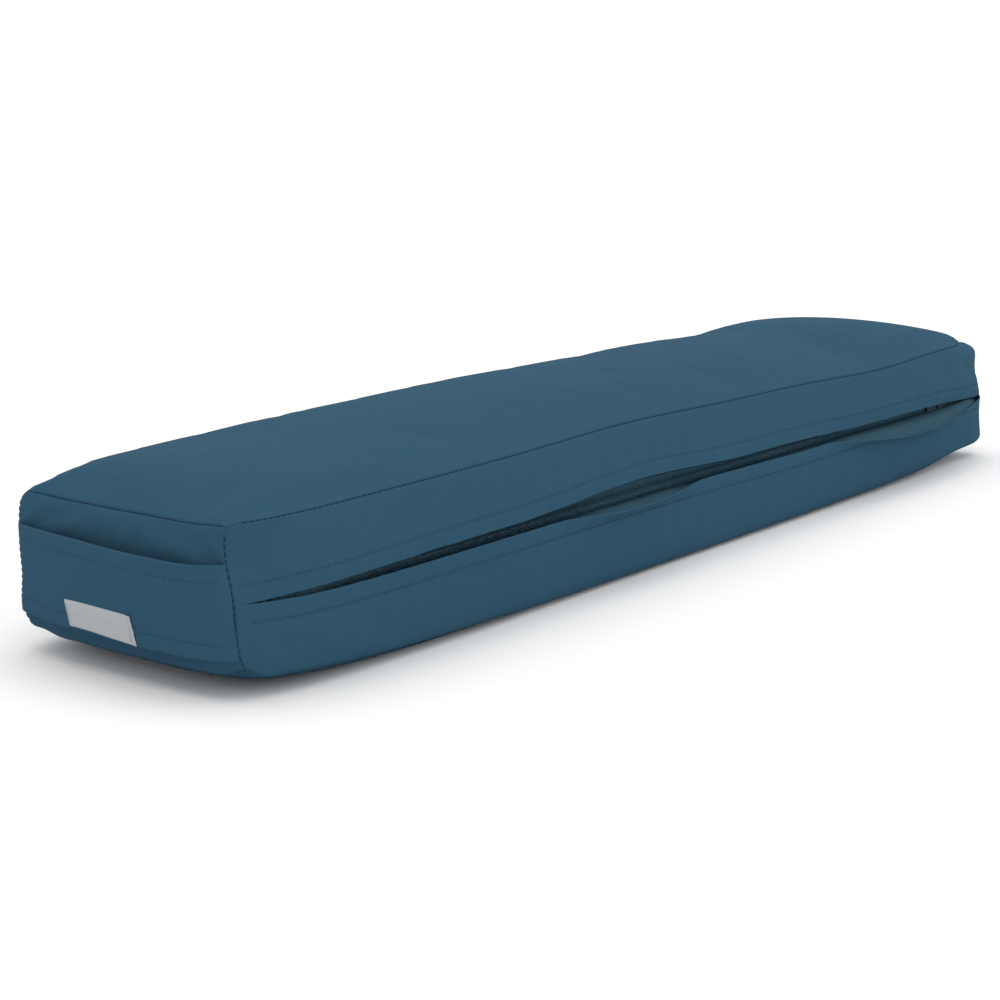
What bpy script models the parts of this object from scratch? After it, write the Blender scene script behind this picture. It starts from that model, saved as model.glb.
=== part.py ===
"""Slim rectangular yoga bolster: a zipped canvas cover over a stuffed liner, with a handle band on one end.

Metres, +Z up. X runs along the bolster from the handle end to the far end, the zip side faces -Y, and the
bolster lies on the plane z = 0. The origin is on that plane, under the middle of the overall box.
"""

import math

import bmesh
import bpy
from mathutils import Vector

# Cover, measured at the corner seams and then swelling between them
LENGTH = 0.711  # 28 in
CORNER_WIDTH = 0.1434
CORNER_HEIGHT = 0.0718
CORNER_LIFT = 0.009  # the bottom corners stand clear of the floor
SIDE_SWELL = 0.011  # each long seam bows out by this much in plan
FACE_SWELL = 0.005  # each long top seam rises by this much
TOP_CROWN = 0.0166
BOTTOM_SWELL = 0.0072
BOTTOM_CROWN = 0.006
SIDE_BULGE = 0.004
END_BULGE = 0.004
CROWN_POWER = 7  # how late the crown falls towards the ends
SIDE_POWER = 12  # how late the sides pull in towards the corners

# Canvas, hems and seams
CANVAS = 0.0008
SEAM_STEP = 0.0015  # a side or end panel stops this far inside the panel that it is sewn to
HEM_STEP = 0.0027  # the end panels stop this far inside the zip side, to clear the hems
LIP_GAP = 0.0080  # between the two folded lips over the zip
HEM_FOLD = 0.0022  # depth of a folded lip
HEM_RETURN = 0.009  # how far the hem runs back behind the lip

# Zip, with depths measured inward from the middle of the chain
CHAIN_DEPTH = 0.0066  # from the widest part of the lips back to the middle of the chain
CHAIN_LEAST_DEPTH = 0.0033  # the chain bends inward past the slider's travel to keep this
COIL_INNER = 0.0008
COIL_OUTER = 0.0027
COIL_THICK = 0.0013
TAPE_THICK = 0.0005
TAPE_BEHIND = 0.00095  # from the middle of the chain back to the face of the tape
TAPE_ROWS = (0.0009, 0.0046, 0.0090, 0.0135, 0.0160)
TAPE_SEWN_DEPTH = 0.0027  # the outer edge of the tape is sewn this far inside the lip
TACK_LENGTH = 0.002
TACK_THICK = 0.0006
TACK_TALL = 0.0068

# Slider and pull tab
SLIDER_X = 0.285
SLIDER_LENGTH = 0.0100
SLIDER_MOUTH = 0.0072
SLIDER_TAIL = 0.0056
PLATE = 0.0008
FRONT_PLATE_INNER = -0.00095
BACK_PLATE_INNER = 0.00175
DIVIDER = 0.0010
DIVIDER_LENGTH = 0.0026
BRIDGE_WIDE = 0.0016
BRIDGE_LENGTH = 0.0056
BRIDGE_CLEAR = 0.00135  # inside height of the bridge
BRIDGE_WALL = 0.0006
SINK = 0.0003  # how far pieces of one casting run into each other
TAB_LENGTH = 0.0170
TAB_THICK = 0.0008
TAB_WIDE = 0.0032
TAB_WINDOW = 0.0023
TAB_WINDOW_END = 0.0042

# Handle band and its label
BAND_LOW = 0.0190
BAND_HIGH = 0.0625
BAND_THICK = 0.0024
BAND_STAND = 0.0109  # how far the middle of the band stands off the corner seams
BAND_POWER = 2.2
BAND_SIDE_STEP = 0.0008
LABEL_WIDE = 0.047
LABEL_TALL = 0.0137
LABEL_CENTRE_Y = 0.0053
LABEL_LOW = 0.0198
LABEL_THICK = 0.0006

# Liner and filling
LINER = 0.0006
LINER_GAP = 0.0020
LINER_STEP = 0.0013
ZIP_CLEARANCE = 0.0034
BEHIND_CHAIN = 0.0039  # the zip presses a groove this deep behind the chain into the liner
GROOVE_HALF = 0.0105
BATTING_GAP = 0.0012
LAYERS = (
    ("batting_lower_layer", -1.0, -0.34, 2),
    ("batting_middle_layer", -0.32, 0.32, 4),
    ("batting_upper_layer", 0.34, 1.0, 2),
)

TOUCH = 0.0003  # the gap kept between pieces that touch
STATIONS = 14  # along the length
HALF_LENGTH = LENGTH / 2
HALF_WIDTH = CORNER_WIDTH / 2
HALF_HEIGHT = CORNER_HEIGHT / 2
MIDDLE_Z = CORNER_LIFT + HALF_HEIGHT
CHAIN_Y = CHAIN_DEPTH - (HALF_WIDTH + SIDE_SWELL + SIDE_BULGE)
BAND_REACH = TOUCH + BAND_STAND + BAND_THICK
BODY_X = (BAND_REACH - END_BULGE) / 2  # the middle of the cover, so that the origin is under the whole box
HANDLE_END_X = BODY_X - HALF_LENGTH

TEAL = (0.040, 0.088, 0.118)
TEAL_DARK = (0.030, 0.068, 0.092)
LABEL_GREY = (0.27, 0.30, 0.33)
METAL_DARK = (0.09, 0.10, 0.11)
MUSLIN = (0.74, 0.69, 0.58)
COTTON = (0.86, 0.83, 0.76)


def clear_scene():
    for obj in list(bpy.data.objects):
        bpy.data.objects.remove(obj)


def new_collection(name):
    collection = bpy.data.collections.new(name)
    bpy.context.scene.collection.children.link(collection)
    return collection


def material(name, colour, roughness, metallic=0.0):
    made = bpy.data.materials.new(name)
    made.use_nodes = True
    shader = made.node_tree.nodes["Principled BSDF"]
    shader.inputs["Base Color"].default_value = (*colour, 1.0)
    shader.inputs["Roughness"].default_value = roughness
    shader.inputs["Metallic"].default_value = metallic
    return made


# The soft box that every cloth piece follows -------------------------------------------------------------


def fullness(u, power):
    """1 over most of the length, falling to 0 at the corner seams."""
    return 1 - abs(u) ** power


def half_width(u, w):
    return HALF_WIDTH + fullness(u, SIDE_POWER) * (SIDE_SWELL + SIDE_BULGE * (1 - w * w))


def rise(u, v):
    return HALF_HEIGHT + fullness(u, CROWN_POWER) * (FACE_SWELL + TOP_CROWN * (1 - v * v))


def drop(u, v):
    full = HALF_HEIGHT + fullness(u, CROWN_POWER) * (BOTTOM_SWELL + BOTTOM_CROWN * (1 - v * v))
    return min(MIDDLE_Z, full)


def soft_box(u, v, w, inset=0.0, front_inset=None):
    """A point of the stuffed cover: u, v and w run from -1 to 1 along X, Y and Z. An inset moves it inward."""
    bulge = END_BULGE * (1 - v * v) * (1 - w * w) if abs(u) == 1 else 0.0
    side_inset = front_inset if v < 0 and front_inset is not None else inset
    x = u * (HALF_LENGTH + bulge - inset)
    y = v * (half_width(u, w) - side_inset)
    z = MIDDLE_Z + w * ((rise(u, v) if w > 0 else drop(u, v)) - inset)
    return Vector((BODY_X + x, y, z))


def chain_depth(u):
    """From the face of the zip side back to the middle of the chain, which runs straight as far as it can."""
    return max(CHAIN_LEAST_DEPTH, CHAIN_Y + half_width(u, 0))


def spaced(count, power):
    """count + 1 stations from -1 to 1, closer together towards both ends."""
    steps = [2 * i / count - 1 for i in range(count + 1)]
    return [math.copysign(1 - (1 - abs(t)) ** power, t) for t in steps]


ALONG = spaced(STATIONS, 1.7)


def row_of(p, count):
    """Which of count steps the grid parameter p, from -1 to 1, is at."""
    return round((p + 1) / 2 * count)


def at_station(p):
    return ALONG[row_of(p, STATIONS)]


CHAIN_STATIONS = ALONG[1:-1]  # the chain stops one station short of each end
CHAIN_COUNT = len(CHAIN_STATIONS) - 1


# Makers ----------------------------------------------------------------------------------------------------


def face_outward(bm):
    """Turns a closed body's faces to point out of it."""
    bmesh.ops.recalc_face_normals(bm, faces=bm.faces)
    if bm.calc_volume(signed=True) < 0:
        bmesh.ops.reverse_faces(bm, faces=bm.faces)


def link_mesh(name, bm, collection, look):
    mesh = bpy.data.meshes.new(name)
    bm.to_mesh(mesh)
    bm.free()
    mesh.materials.append(look)
    mesh.shade_smooth()
    mesh.set_sharp_from_angle(angle=math.radians(40))
    obj = bpy.data.objects.new(name, mesh)
    collection.objects.link(obj)
    return obj


def sewn_panel(name, counts, place, thickness, outward, collection, look):
    """A cloth panel: a flat grid laid over place(p, q), its outer face towards outward, thickened inward."""
    bm = bmesh.new()
    bmesh.ops.create_grid(bm, x_segments=counts[0], y_segments=counts[1], size=1.0)
    for vert in bm.verts:
        vert.co = place(vert.co.x, vert.co.y)
    bm.normal_update()
    facing = sum((face.normal * face.calc_area() for face in bm.faces), Vector((0, 0, 0)))
    if facing.dot(Vector(outward)) < 0:
        bmesh.ops.reverse_faces(bm, faces=bm.faces)
    obj = link_mesh(name, bm, collection, look)
    solid = obj.modifiers.new("thickness", "SOLIDIFY")
    solid.thickness = thickness
    solid.offset = -1.0
    return obj


def soft_block(name, cuts, place, collection, look):
    """A closed block: a cube cut across at regular steps, with every vertex moved to place(p, q, r)."""
    bm = bmesh.new()
    bmesh.ops.create_cube(bm, size=2.0)
    for axis, count in enumerate(cuts):
        normal = Vector([float(axis == i) for i in range(3)])
        for step in range(1, count):
            bmesh.ops.bisect_plane(
                bm,
                geom=bm.verts[:] + bm.edges[:] + bm.faces[:],
                plane_co=normal * (2 * step / count - 1),
                plane_no=normal,
                dist=1e-6,
            )
    for vert in bm.verts:
        vert.co = place(*vert.co)
    face_outward(bm)
    return link_mesh(name, bm, collection, look)


def tapered_block(name, low, high, tail_share, collection, look):
    """A box between two corners, narrowed in Z to tail_share of its height at the low X end."""
    bm = bmesh.new()
    bmesh.ops.create_cube(bm, size=1.0)
    middle = (Vector(low) + Vector(high)) / 2
    size = Vector(high) - Vector(low)
    for vert in bm.verts:
        share = tail_share if vert.co.x < 0 else 1.0
        vert.co = (vert.co.x * size.x, vert.co.y * size.y, vert.co.z * size.z * share)
    obj = link_mesh(name, bm, collection, look)
    obj.location = middle
    return obj


def cut_sheet(name, outlines, thickness, collection, look):
    """Closed outlines in the XY plane, the later ones holes in the first, made into a plate about z = 0."""
    curve = bpy.data.curves.new(name, "CURVE")
    curve.dimensions = "2D"
    curve.fill_mode = "BOTH"
    curve.extrude = thickness / 2
    for outline in outlines:
        spline = curve.splines.new("POLY")
        spline.points.add(len(outline) - 1)
        for point, (x, y) in zip(spline.points, outline):
            point.co = (x, y, 0, 1)
        spline.use_cyclic_u = True
    guide = bpy.data.objects.new(name + "_outline", curve)
    collection.objects.link(guide)
    bpy.context.view_layer.update()
    evaluated = guide.evaluated_get(bpy.context.evaluated_depsgraph_get())
    bm = bmesh.new()
    bm.from_mesh(bpy.data.meshes.new_from_object(evaluated))
    bpy.data.objects.remove(guide)
    bmesh.ops.remove_doubles(bm, verts=bm.verts, dist=1e-6)
    face_outward(bm)
    return link_mesh(name, bm, collection, look)


def join_solid(obj, other, cutters):
    """Adds other, a closed solid, to obj with a Boolean and keeps it among the cutters."""
    for collection in list(other.users_collection):
        collection.objects.unlink(other)
    cutters.objects.link(other)
    other.hide_render = True
    other.display_type = "WIRE"
    boolean = obj.modifiers.new(other.name, "BOOLEAN")
    boolean.operation = "UNION"
    boolean.solver = "EXACT"
    boolean.object = other


# The cover ---------------------------------------------------------------------------------------------------


def inside_seams(u, w, step):
    """w, pulled in so that a side or end panel stops short of the top and bottom panels."""
    return w * (1 - step / (rise(u, 1) if w > 0 else drop(u, 1)))


def make_cover(collection, look):
    """The plain panels: top, bottom, rear side and the two ends."""

    def top(p, q):
        return soft_box(at_station(p), q, 1)

    def bottom(p, q):
        return soft_box(at_station(p), q, -1)

    def rear(p, q):
        u = at_station(p)
        return soft_box(u, 1, inside_seams(u, q, SEAM_STEP))

    sewn_panel("cover_top_panel", (STATIONS, 8), top, CANVAS, (0, 0, 1), collection, look)
    sewn_panel("cover_bottom_panel", (STATIONS, 8), bottom, CANVAS, (0, 0, -1), collection, look)
    sewn_panel("cover_rear_side_panel", (STATIONS, 4), rear, CANVAS, (0, 1, 0), collection, look)
    for name, end in (("cover_handle_end_panel", -1), ("cover_far_end_panel", 1)):

        def across(p, q, end=end):
            v = p * (1 - (HEM_STEP if p < 0 else SEAM_STEP) / HALF_WIDTH)
            return soft_box(end, v, inside_seams(end, q, SEAM_STEP))

        sewn_panel(name, (6, 4), across, CANVAS, (end, 0, 0), collection, look)


def make_zip_strips(collection, look):
    """The two strips of the zip side. Each ends in a lip that is folded back inside as a hem."""
    fold = HEM_FOLD / 2
    fold_line = LIP_GAP / 2 + fold
    face_rows = 4
    fold_rows = 3
    for name, side in (("cover_zip_side_upper_strip", 1), ("cover_zip_side_lower_strip", -1)):

        def strip(p, q, side=side):
            """q runs from the seam down to the lip, round the fold and back along the hem."""
            u = at_station(p)
            full = rise(u, 1) if side > 0 else drop(u, 1)
            seam = full - SEAM_STEP
            row = row_of(q, face_rows + fold_rows + 1)
            turned = min(max(row - face_rows, 0), fold_rows) * math.pi / fold_rows
            height = fold_line - fold * math.sin(turned)
            if row < face_rows:
                height = seam + (fold_line - seam) * row / face_rows
            elif row > face_rows + fold_rows:
                height = fold_line + HEM_RETURN
            depth = fold * (1 - math.cos(turned))
            return soft_box(u, -1, side * height / full) + Vector((0, depth, 0))

        rows = face_rows + fold_rows + 1
        sewn_panel(name, (STATIONS, rows), strip, CANVAS, (0, -1, 0), collection, look)


def band_face(y, off):
    """A point's X on the handle band, off metres outside the band's inner face."""
    bow = BAND_STAND * (1 - abs(y / HALF_WIDTH) ** BAND_POWER)
    return HANDLE_END_X - TOUCH - bow - off


def make_handle_band(collection, look, label_look):
    """The strap across the handle end, and the woven label on its lower hem."""

    def band(p, q):
        y = p * (HALF_WIDTH - BAND_SIDE_STEP)
        z = (BAND_LOW + BAND_HIGH) / 2 + q * (BAND_HIGH - BAND_LOW) / 2
        return Vector((band_face(y, BAND_THICK), y, z))

    def label(p, q):
        y = LABEL_CENTRE_Y + p * LABEL_WIDE / 2
        z = LABEL_LOW + LABEL_TALL * (q + 1) / 2
        return Vector((band_face(y, BAND_THICK + TOUCH + LABEL_THICK), y, z))

    sewn_panel("handle_band", (12, 2), band, BAND_THICK, (-1, 0, 0), collection, look)
    sewn_panel("woven_label", (8, 1), label, LABEL_THICK, (-1, 0, 0), collection, label_look)


# The zip -----------------------------------------------------------------------------------------------------


def zip_side(u, height, depth):
    """A point on the zip side, height above the zip line and depth inside the face."""
    middle = soft_box(u, -1, 0)
    return Vector((middle.x, middle.y + depth, middle.z + height))


def along_chain(p):
    return CHAIN_STATIONS[row_of(p, CHAIN_COUNT)]


def make_chain(collection, tape_look, coil_look, thread_look):
    """The two tapes, the two rows of coil and the bar tack at each end."""
    for name, side in (("upper", 1), ("lower", -1)):

        def tape(p, q, side=side):
            u = along_chain(p)
            height = TAPE_ROWS[row_of(q, len(TAPE_ROWS) - 1)]
            inner = chain_depth(u) + TAPE_BEHIND
            flat_end, sewn = TAPE_ROWS[1], TAPE_ROWS[3]
            slope = min(max((height - flat_end) / (sewn - flat_end), 0), 1)
            return zip_side(u, side * height, inner + (TAPE_SEWN_DEPTH - inner) * slope)

        def coil(p, q, r, side=side):
            u = along_chain(p)
            height = (COIL_INNER + COIL_OUTER) / 2 + r * (COIL_OUTER - COIL_INNER) / 2
            return zip_side(u, side * height, chain_depth(u) + q * COIL_THICK / 2)

        counts = (CHAIN_COUNT, len(TAPE_ROWS) - 1)
        sewn_panel(f"zip_{name}_tape", counts, tape, TAPE_THICK, (0, -1, 0), collection, tape_look)
        soft_block(f"zip_{name}_coil", (CHAIN_COUNT, 1, 1), coil, collection, coil_look)

    for name, end in (("zip_near_bar_tack", -1), ("zip_far_bar_tack", 1)):

        def tack(p, q, r, end=end):
            u = end * (CHAIN_STATIONS[-1] - (1 - p) / 2 * TACK_LENGTH / HALF_LENGTH)
            depth = chain_depth(u) - COIL_THICK / 2 - TOUCH - TACK_THICK * (1 - q) / 2
            return zip_side(u, r * TACK_TALL / 2, depth)

        soft_block(name, (1, 1, 2), tack, collection, thread_look)


def make_slider(collection, cutters, look):
    """Front plate, back plate, divider and bridge as one casting. The wide mouth faces +X."""
    half = SLIDER_LENGTH / 2
    mouth = SLIDER_MOUTH / 2
    tail_share = SLIDER_TAIL / SLIDER_MOUTH
    front_outer = CHAIN_Y + FRONT_PLATE_INNER - PLATE
    back_inner = CHAIN_Y + BACK_PLATE_INNER
    middle = Vector((SLIDER_X, 0, MIDDLE_Z))

    body = tapered_block(
        "zip_slider_body",
        (SLIDER_X - half, front_outer, MIDDLE_Z - mouth),
        (SLIDER_X + half, front_outer + PLATE, MIDDLE_Z + mouth),
        tail_share,
        collection,
        look,
    )
    back = tapered_block(
        "slider_back_plate",
        (SLIDER_X - half, back_inner, MIDDLE_Z - mouth),
        (SLIDER_X + half, back_inner + PLATE, MIDDLE_Z + mouth),
        tail_share,
        collection,
        look,
    )
    divider = tapered_block(
        "slider_divider",
        (SLIDER_X + half - DIVIDER_LENGTH - SINK, front_outer + PLATE - SINK, MIDDLE_Z - DIVIDER / 2),
        (SLIDER_X + half - SINK, back_inner + SINK, MIDDLE_Z + DIVIDER / 2),
        0.5,
        collection,
        look,
    )
    reach = BRIDGE_LENGTH / 2
    inner = reach - BRIDGE_WALL
    top = BRIDGE_CLEAR + BRIDGE_WALL
    arch = [
        (-reach, -SINK),
        (-reach, top),
        (reach, top),
        (reach, -SINK),
        (inner, -SINK),
        (inner, BRIDGE_CLEAR),
        (-inner, BRIDGE_CLEAR),
        (-inner, -SINK),
    ]
    bridge = cut_sheet("slider_bridge", [arch], BRIDGE_WIDE, collection, look)
    for vert in bridge.data.vertices:
        x, up, across = vert.co
        vert.co = (x, -up, across)
    bridge.data.flip_normals()
    bridge.location = middle + Vector((0, front_outer, 0))
    for piece in (back, divider, bridge):
        join_solid(body, piece, cutters)


def make_pull_tab(collection, look):
    """The flat tab, its origin on the hinge axis under the bridge, lying towards -X over the closed chain."""
    bar = TAB_THICK / 2
    wide = TAB_WIDE / 2
    window = TAB_WINDOW / 2
    corner = wide * 0.6
    outline = [
        (bar, -wide),
        (bar, wide),
        (-TAB_LENGTH + corner, wide),
        (-TAB_LENGTH, wide - corner),
        (-TAB_LENGTH, corner - wide),
        (-TAB_LENGTH + corner, -wide),
    ]
    hole = [(-bar, -window), (-TAB_WINDOW_END, -window), (-TAB_WINDOW_END, window), (-bar, window)]
    tab = cut_sheet("zip_pull_tab", [outline, hole], TAB_THICK, collection, look)
    for vert in tab.data.vertices:
        x, across, up = vert.co
        vert.co = (x, -up, across)
    hinge_y = CHAIN_Y + FRONT_PLATE_INNER - PLATE - BRIDGE_CLEAR / 2
    tab.location = (SLIDER_X, hinge_y, MIDDLE_Z)


# The insert --------------------------------------------------------------------------------------------------


def front_inset(u, w):
    """How far the front of the liner stays behind the zip side, with the groove that the chain presses in it."""
    height = abs(w) * (rise(u, 1) if w > 0 else drop(u, 1))
    groove = chain_depth(u) + BEHIND_CHAIN - ZIP_CLEARANCE
    return ZIP_CLEARANCE + groove * math.exp(-((height / GROOVE_HALF) ** 2))


def insert_point(u, v, w, inset):
    return soft_box(u, v, w, inset, front_inset(u, w) + inset - LINER_GAP)


def make_liner(collection, look):
    """Plain casing of six panels around the filling."""

    def top(p, q):
        return insert_point(at_station(p), q, 1, LINER_GAP)

    def bottom(p, q):
        return insert_point(at_station(p), q, -1, LINER_GAP)

    def rear(p, q):
        u = at_station(p)
        return insert_point(u, 1, inside_seams(u, q, LINER_STEP), LINER_GAP)

    def front(p, q):
        u = at_station(p)
        w = math.copysign(abs(q) ** 1.8, q)
        return insert_point(u, -1, inside_seams(u, w, LINER_STEP), LINER_GAP)

    sewn_panel("liner_top_panel", (STATIONS, 6), top, LINER, (0, 0, 1), collection, look)
    sewn_panel("liner_bottom_panel", (STATIONS, 6), bottom, LINER, (0, 0, -1), collection, look)
    sewn_panel("liner_rear_boxing", (STATIONS, 4), rear, LINER, (0, 1, 0), collection, look)
    sewn_panel("liner_front_boxing", (STATIONS, 10), front, LINER, (0, -1, 0), collection, look)
    for name, end in (("liner_handle_end_panel", -1), ("liner_far_end_panel", 1)):

        def across(p, q, end=end):
            v = p * (1 - LINER_STEP / HALF_WIDTH)
            return insert_point(end, v, inside_seams(end, q, LINER_STEP), LINER_GAP)

        sewn_panel(name, (6, 4), across, LINER, (end, 0, 0), collection, look)


def make_batting(collection, look):
    """Three layers of cotton batting, one on another."""
    inset = LINER_GAP + LINER + BATTING_GAP
    for name, low, high, cuts in LAYERS:

        def place(p, q, r, low=low, high=high):
            return insert_point(at_station(p), q, low + (high - low) * (r + 1) / 2, inset)

        soft_block(name, (STATIONS, 6, cuts), place, collection, look)


def main():
    clear_scene()
    parts = new_collection("yoga_bolster")
    cutters = new_collection("cutters")
    canvas = material("canvas", TEAL, 0.9)
    tape = material("zip_tape", TEAL_DARK, 0.85)
    coil = material("zip_coil", TEAL_DARK, 0.45)
    thread = material("thread", TEAL_DARK, 0.7)
    label = material("label", LABEL_GREY, 0.7)
    metal = material("zip_metal", METAL_DARK, 0.35, 1.0)
    muslin = material("muslin", MUSLIN, 0.95)
    cotton = material("cotton", COTTON, 1.0)

    make_cover(parts, canvas)
    make_zip_strips(parts, canvas)
    make_handle_band(parts, canvas, label)
    make_chain(parts, tape, coil, thread)
    make_slider(parts, cutters, metal)
    make_pull_tab(parts, metal)
    make_liner(parts, muslin)
    make_batting(parts, cotton)


main()
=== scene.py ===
"""The looks of the slim yoga bolster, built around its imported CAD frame."""

import math

import bmesh
import bpy
import numpy as np
from mathutils import Matrix, Vector


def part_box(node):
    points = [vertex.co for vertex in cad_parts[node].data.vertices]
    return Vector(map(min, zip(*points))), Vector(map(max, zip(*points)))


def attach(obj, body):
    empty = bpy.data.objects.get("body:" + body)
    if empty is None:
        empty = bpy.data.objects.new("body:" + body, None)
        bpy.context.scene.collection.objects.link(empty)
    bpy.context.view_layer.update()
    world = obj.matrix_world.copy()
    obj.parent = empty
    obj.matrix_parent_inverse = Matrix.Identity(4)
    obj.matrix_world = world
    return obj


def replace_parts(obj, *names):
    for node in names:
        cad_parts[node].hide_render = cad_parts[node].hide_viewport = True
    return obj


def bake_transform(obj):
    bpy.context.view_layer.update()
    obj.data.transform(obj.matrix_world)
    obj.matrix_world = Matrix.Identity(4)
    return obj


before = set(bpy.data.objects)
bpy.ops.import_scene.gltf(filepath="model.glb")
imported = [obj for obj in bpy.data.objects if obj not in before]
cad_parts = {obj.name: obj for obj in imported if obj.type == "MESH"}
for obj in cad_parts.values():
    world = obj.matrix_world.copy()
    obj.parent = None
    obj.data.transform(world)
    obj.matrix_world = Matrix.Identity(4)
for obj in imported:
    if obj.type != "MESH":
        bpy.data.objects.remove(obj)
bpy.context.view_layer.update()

# Sizes read from the frame, in metres ----

STEP = 0.0015  # the side and end panels of the frame stop this far inside the corner seams
TOP_LOW, TOP_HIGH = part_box("cover_top_panel")
END_LOW, END_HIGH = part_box("cover_far_end_panel")
CHAIN_LOW, CHAIN_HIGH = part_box("zip_upper_coil")
BAND_LOW, BAND_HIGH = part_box("handle_band")
LABEL_LOW, LABEL_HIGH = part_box("woven_label")
HALF_LENGTH = (TOP_HIGH.x - TOP_LOW.x) / 2
BODY_X = (TOP_HIGH.x + TOP_LOW.x) / 2
HANDLE_END_X = TOP_LOW.x
CORNER_HALF_WIDTH = END_HIGH.y + STEP
SEAM_HALF_WIDTH = TOP_HIGH.y
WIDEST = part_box("cover_rear_side_panel")[1].y
END_BULGE = END_HIGH.x - TOP_HIGH.x
ZIP_Z = (CHAIN_LOW.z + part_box("zip_lower_coil")[1].z) / 2
CORNER_RISE = END_HIGH.z + STEP - ZIP_Z
CORNER_DROP = ZIP_Z - END_LOW.z + STEP
SEAM_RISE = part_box("cover_zip_side_upper_strip")[1].z + STEP - ZIP_Z
SEAM_DROP = ZIP_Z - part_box("cover_zip_side_lower_strip")[0].z + STEP
CROWN = TOP_HIGH.z - ZIP_Z - SEAM_RISE
COIL_THICK = 0.0013
CHAIN_Y = CHAIN_LOW.y + COIL_THICK / 2
CHAIN_HALF = (CHAIN_HIGH.x - CHAIN_LOW.x) / 2

# How the stuffed cover is shaped
CROWN_POWER = 7
SIDE_POWER = 12
CROWN_ROUND = 2.2  # 2 is a parabola across the top, and more is flatter in the middle
BOTTOM_BELLY = 0.006  # how far the stuffing pushes the bottom down, were there no floor under it
FLOOR_GAP = 0.0003
FLOOR_SOFTNESS = 0.0008  # the bottom rounds off onto the floor over about this height
LOWEST = 0.0002
CANVAS = 0.0008
SEAM_ROUNDS = (-0.0005, 0.0014, 0.0012)  # how far the skin rolls in at seams along Z, Y and X
LOW_SEAM_SHARE = 0.4  # of that roll at the seams round the bottom
SEAM_ROUND_REACH = 0.0040
GROOVE = 0.0009
GROOVE_HALF = 0.0007
# Where the corner tips are drawn to: end, side, level, reach, and the shift along X, Y and Z
CORNER_TIPS = (
    (-1, -1, -1, 0.011, (0.0040, -0.0010, 0.0020)),
    (-1, -1, -1, 0.005, (0.0035, 0.0030, 0.0020)),
    (1, -1, -1, 0.011, (-0.0015, 0.0010, 0.0015)),
    (-1, 1, -1, 0.011, (0.0015, -0.0010, 0.0015)),
    (1, 1, -1, 0.011, (-0.0020, -0.0015, 0.0015)),
    (-1, -1, 1, 0.018, (0.0000, 0.0000, 0.0014)),
)
# Top corners that are rounded over, and how far their tips come in along X and Y
ROUNDED_CORNERS = ((1, -1, (-0.0075, 0.0085)), (1, 1, (-0.0070, -0.0060)), (-1, 1, (0.0015, -0.0020)))
ROUNDED_DEPTH = 0.0115
ROUNDED_POWER = 2.6
ROUNDED_REACH = 0.026
# The corner seams along Z aren't straight: (end, side, middle of the bow as w, half length, outward bow)
CORNER_BOWS = (
    (-1, 1, 0.30, 1.00, 0.0066), (-1, 1, -0.65, 0.35, 0.0056), (-1, -1, 0.72, 0.50, -0.0050),
    (1, -1, -0.30, 0.65, 0.0038), (1, -1, 0.38, 0.24, -0.0018), (1, -1, -1.00, 0.35, 0.0050),
)
CORNER_BOW_REACH = 0.030
TUCK = 0.0026  # the sides turn under the bottom in a quarter circle of this radius
END_SAG = 0.0016  # how far the bottom seams of the ends hang between their corners
# Room that the cover leaves its liner at the ends, at the sides and above and below, and more behind the zip
LINER_END_GAP = 0.0034
LINER_SIDE_GAP = 0.0036
LINER_FLAT_GAP = 0.0030
LINER_ZIP_GAP = 0.0072
LINER_ZIP_REACH = 0.013
LINER_SEAM_SHARE = 0.8  # the liner's own seams draw it in by this share of the cover's

# Waves along the cover: (middle along X, half length, height)
TOP_FRONT_WAVES = ((-0.070, 0.075, 0.0028), (0.205, 0.075, -0.0036))
TOP_REAR_WAVES = ((-0.332, 0.026, 0.0048), (-0.220, 0.060, 0.0015), (0.050, 0.090, -0.0015))
BOTTOM_FRONT_WAVES = ((0.060, 0.230, -0.0045), (0.318, 0.045, 0.0060))
CROWN_WAVES = (
    (-0.258, 0.040, -0.0024), (-0.235, 0.085, -0.0042), (-0.090, 0.100, -0.0012),
    (0.010, 0.060, -0.0010), (0.165, 0.060, -0.0034), (0.200, 0.028, -0.0026),
)
SIDE_WAVES = ((-0.190, 0.050, 0.0010), (0.040, 0.070, -0.0010), (0.250, 0.050, 0.0012))

# Lips over the zip, as heights above and below the zip line
UPPER_LIP = 0.0008
UPPER_LIP_WAVES = (
    (-0.352, 0.018, -0.0011), (-0.215, 0.100, 0.0046), (-0.065, 0.085, 0.0093),
    (0.085, 0.085, 0.0050), (0.235, 0.075, 0.0024), (0.350, 0.045, -0.0030),
)
LOWER_LIP = 0.0009
LOWER_LIP_WAVES = (
    (-0.350, 0.025, 0.0006), (-0.190, 0.060, 0.0007), (-0.070, 0.100, 0.0007),
    (0.090, 0.060, -0.0010), (0.330, 0.120, -0.0013), (0.357, 0.014, -0.0012),
)
UPPER_STITCH = 0.0078  # the topstitch runs this far from the lip's edge
LOWER_STITCH = 0.0082
# Where the lower lip has turned out: from, to, degrees, and where the most is as a share of the way
FLARES = ((-0.140, -0.012, 46.0, 0.50), (0.128, 0.351, 86.0, 0.46))
FLAP_SMOOTHING = 0.010
UPPER_HEM_LEAN = -5.0  # degrees, the upper lip leans in
HEM_END_REACH = 0.008  # this near the corners the hems are drawn back to the skin, into the corner seams
HEM_SHARES = (0.03, 0.07, 0.12, 0.2, 0.32, 0.46, 0.6, 0.74, 0.88, 1.0)
HEM_PROUD = 0.0004
FOLD = 0.0009
FOLD_ANGLES = np.radians((30, 60, 90, 120, 150, 180))
FACE_WIDTH = 0.030  # of a strip, from the seam to the topstitch, on its UVs
FACE_STEP = 0.0034
STRIP_STEP = 0.0036

STITCH_PITCH = 0.0034
STITCH_LONG = 0.0024
THREAD = 0.00018

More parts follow.
